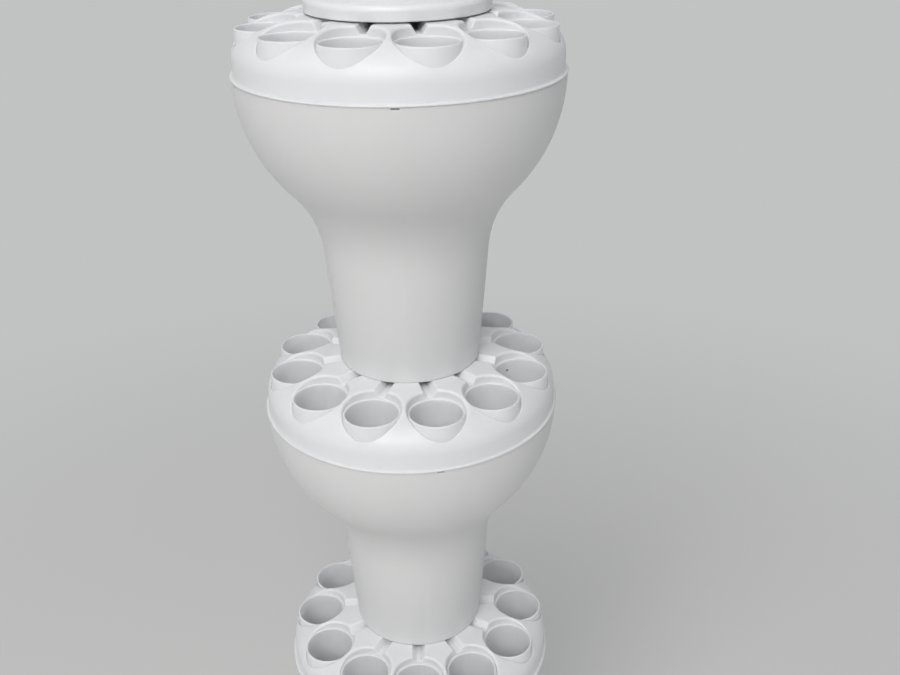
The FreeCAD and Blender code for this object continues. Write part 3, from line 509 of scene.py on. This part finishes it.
# %% [markdown]
# ## The pump, the fittings and the rubber
#
# The pump is black plastic with an ivory impeller, the pipe's fittings and the spray head are grey, and
# the pads, the feet and the cable's inlet are rubber. Dark plastic and rubber let no light in, so they
# have no glow. The pump and the rubber have a deeper peel, like that of a coarse mould. The same recipe
# makes them all, because only its values differ.

# %% Finishes of the pump, the fittings and the rubber
FITTING_GREY = (0.30, 0.31, 0.32)
IMPELLER_IVORY = (0.70, 0.69, 0.66)
PUMP_BLACK = (0.028, 0.029, 0.031)
PAD_GREY = (0.19, 0.19, 0.19)
RUBBER_BLACK = (0.03, 0.03, 0.03)

finishes["fitting_grey"] = moulded_plastic(
    "fitting grey plastic", FITTING_GREY, roughness=0.42, glow=0.0
)
finishes["impeller_white"] = moulded_plastic("impeller plastic", IMPELLER_IVORY, roughness=0.4)
finishes["pump_black"] = moulded_plastic(
    "pump black plastic", PUMP_BLACK, roughness=0.48, glow=0.0, peel=COARSE_PEEL
)
finishes["rubber_grey"] = moulded_plastic(
    "grey rubber", PAD_GREY, roughness=0.75, glow=0.0, peel=COARSE_PEEL
)
finishes["rubber_black"] = moulded_plastic(
    "black rubber", RUBBER_BLACK, roughness=0.7, glow=0.0, peel=COARSE_PEEL
)
print("finishes:", ", ".join(sorted(finishes)))

# %% [markdown]
# ## The pump's shaft
#
# The shaft is ground steel. Its surface is nearly a mirror, with very fine rings round it. Bump could
# draw them, but they are too fine to be seen one by one, so noise drives the roughness instead. It is
# fine along the shaft, which lies along x, and stretched round it.

# %% Ground steel
STEEL_TONE = (0.62, 0.61, 0.60, 1.0)
STEEL_METALLIC = 1.0
RING_SIZE = 0.25 * MM
ROUND_THE_SHAFT = 0.02  # how fast the noise changes round the shaft, as a share of its pace along it
BRIGHT_RING = 0.16
DULL_RING = 0.34


def ground_steel(name):
    """A metal whose roughness runs in fine rings."""
    material, tree, shader = new_material(name)
    fill_inputs(tree, shader, Base_Color=STEEL_TONE, Metallic=STEEL_METALLIC)
    pace = (1.0, ROUND_THE_SHAFT, ROUND_THE_SHAFT)
    rings = add_node(tree, "ShaderNodeMapping", Vector=place_in_object(tree), Scale=pace).outputs[0]
    grinding = noise(tree, rings, RING_SIZE)
    ring_roughness = ramp(tree, grinding, NOISE_LOW, NOISE_HIGH, BRIGHT_RING, DULL_RING)
    fill_inputs(tree, shader, Roughness=ring_roughness)
    return material


finishes["shaft_steel"] = ground_steel("ground steel")
print("shaft_steel:", len(finishes["shaft_steel"].node_tree.nodes), "nodes")

# %% [markdown]
# ## Dress the tower
#
# The finishes could be given out by hand, node by node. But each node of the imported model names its
# finish as a material slot, so the new material takes that place. The whole tower is dressed in one
# loop, and a new part needs no new code.

# %% Give each node its finish
for node in nodes.values():
    for slot in node.material_slots:
        slot_name = slot.material.name.split(".")[0]
        slot.material = finishes[slot_name]
print("dressed", len(nodes), "nodes")

# %% [markdown]
# ## The floor
#
# A pale floor carries the tower's soft shadow and sends light up under the bowls. Further out it fades
# into the tone of the background, so there is no edge in any view. A curved backdrop would hide the
# edge from the front only. Only the rays that show the background see the fade, so it puts no light on
# the tower.

# %% Make the floor
BACKDROP_TONE = (0.535, 0.54, 0.54, 1.0)
FLOOR_TONE = (0.78, 0.775, 0.76, 1.0)
FLOOR_ROUGHNESS = 0.9
FLOOR_SHINE = 0.1
FLOOR_RADIUS = 9.0
FLOOR_SIDES = 128
FADE_START = 0.7
FADE_END = 2.6


def seen_ray(tree):
    """1 for a ray that shows the background: from the camera, by a reflection or through glass."""
    rays = add_node(tree, "ShaderNodeLightPath").outputs
    shown = maths(tree, "MAXIMUM", rays["Is Camera Ray"], rays["Is Glossy Ray"])
    return maths(tree, "MAXIMUM", shown, rays["Is Transmission Ray"])


def mix_shaders(tree, share, first, second):
    """Mixes two shaders by a share."""
    return add_node(tree, "ShaderNodeMixShader", _0=share, _1=first, _2=second).outputs[0]


def make_floor():
    bpy.ops.mesh.primitive_circle_add(vertices=FLOOR_SIDES, radius=FLOOR_RADIUS, fill_type="NGON")
    floor = bpy.context.object
    floor.name = "studio_floor"
    material, tree, shader = new_material("studio floor")
    fill_inputs(
        tree,
        shader,
        Base_Color=FLOOR_TONE,
        Roughness=FLOOR_ROUGHNESS,
        Specular_IOR_Level=FLOOR_SHINE,
    )
    away = measure(tree, "LENGTH", place_in_object(tree))
    backdrop = add_node(tree, "ShaderNodeEmission", Color=BACKDROP_TONE).outputs[0]
    faded = maths(tree, "MULTIPLY", ramp(tree, away, FADE_START, FADE_END), seen_ray(tree))
    blend = mix_shaders(tree, faded, shader.outputs[0], backdrop)
    fill_inputs(tree, tree.nodes["Material Output"], Surface=blend)
    floor.data.materials.append(material)
    return floor


floor = make_floor()
print(f"{floor.name}: {FLOOR_RADIUS:.0f} m in radius")

# %% [markdown]
# ## The sky
#
# The sky fills in what the lamp leaves dark. It is brighter and nearly white on the lamp's side, and
# dimmer and cooler on the other, because a plain sky would make the round bowls look flat. The rays
# that show the background see the backdrop's tone instead.

# %% Make the sky
SKY_BRIGHT = 0.45
SKY_DIM = 0.25
SKY_BRIGHT_TONE = (0.97, 0.975, 1.0, 1.0)
SKY_DIM_TONE = (0.90, 0.98, 1.0, 1.0)
BRIGHT_SIDE = (-0.5, -0.45, 0.75)

# The dot product of two directions runs from the first value to the second.
OPPOSITE = -1.0
ALIKE = 1.0


def make_sky():
    world = bpy.data.worlds.new("studio")
    bpy.context.scene.world = world
    world.use_nodes = True
    tree = world.node_tree
    sky = tree.nodes["Background"]
    direction = add_node(tree, "ShaderNodeTexCoord").outputs["Generated"]
    likeness = measure(tree, "DOT_PRODUCT", direction, Vector(BRIGHT_SIDE).normalized())
    strength = ramp(tree, likeness, OPPOSITE, ALIKE, SKY_DIM, SKY_BRIGHT)
    tone = blend_tones(tree, ramp(tree, likeness, OPPOSITE, ALIKE), SKY_DIM_TONE, SKY_BRIGHT_TONE)
    fill_inputs(tree, sky, Color=tone, Strength=strength)
    backdrop = add_node(tree, "ShaderNodeBackground", Color=BACKDROP_TONE).outputs[0]
    blend = mix_shaders(tree, seen_ray(tree), sky.outputs[0], backdrop)
    fill_inputs(tree, tree.nodes["World Output"], Surface=blend)
    return world


sky = make_sky()
print(f"sky {sky.name}: strength {SKY_DIM} to {SKY_BRIGHT}")

# %% [markdown]
# ## The lamp
#
# In the photograph the light is soft and comes from high at the front left. One large disc of light
# does the same. A small lamp or a sun would draw hard shadows under the bowls.

# %% Hang the lamp
KEY_PLACE = (-0.95, -3.1, 4.2)
KEY_AIM = 0.6  # a share of the tower's height
KEY_SIZE = 3.0
KEY_POWER = 116.0
KEY_TONE = (1.0, 0.995, 0.99)


def add_lamp(name, place, target, size, power, tone):
    """A round area lamp that faces the target."""
    lamp = bpy.data.lights.new(name, "AREA")
    lamp.shape = "DISK"
    lamp.size = size
    lamp.energy = power
    lamp.color = tone
    holder = bpy.data.objects.new(name, lamp)
    bpy.context.scene.collection.objects.link(holder)
    holder.location = place
    holder.rotation_euler = (Vector(target) - Vector(place)).to_track_quat("-Z", "Y").to_euler()


key_target = (0.0, 0.0, tower_height * KEY_AIM)
add_lamp("key_lamp", KEY_PLACE, key_target, KEY_SIZE, KEY_POWER, KEY_TONE)
print("key lamp at", KEY_PLACE)

# %% [markdown]
# ## The camera
#
# The photograph was taken from head height, close to the tower and looking down. The camera could be
# set by eye, but the seams and necks are circles round one axis, and only one camera gives them all the
# ellipses that they have in the picture. The place, the lens and the tilt were worked out from these.

# %% The camera of the photograph
PICTURE_WIDTH = 900
LENS_PIXELS = 971.2
SENSOR_WIDTH = 36.0
CAMERA_DISTANCE = 0.9504
CAMERA_ABOVE_SEAM = 0.5406
CAMERA_DOWN = math.radians(26.435)
CAMERA_TURN = math.radians(-2.643)
CAMERA_ROLL = math.radians(-0.888)
LEVEL = math.radians(90)  # a camera looks straight down until it is tilted up by this

lens = bpy.data.cameras.new("photo_camera")
lens.sensor_width = SENSOR_WIDTH
lens.lens = LENS_PIXELS / PICTURE_WIDTH * SENSOR_WIDTH
camera = bpy.data.objects.new("photo_camera", lens)
bpy.context.scene.collection.objects.link(camera)
middle_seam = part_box("bowl_2")[1].z
camera.matrix_world = (
    Matrix.Translation((0.0, -CAMERA_DISTANCE, middle_seam + CAMERA_ABOVE_SEAM))
    @ Matrix.Rotation(CAMERA_TURN, 4, "Z")
    @ Matrix.Rotation(LEVEL - CAMERA_DOWN, 4, "X")
    @ Matrix.Rotation(CAMERA_ROLL, 4, "Z")
)
bpy.context.scene.camera = camera
bpy.context.scene.view_settings.view_transform = "Standard"
print(f"camera {camera.location.z:.3f} m high, lens {lens.lens:.1f} mm")
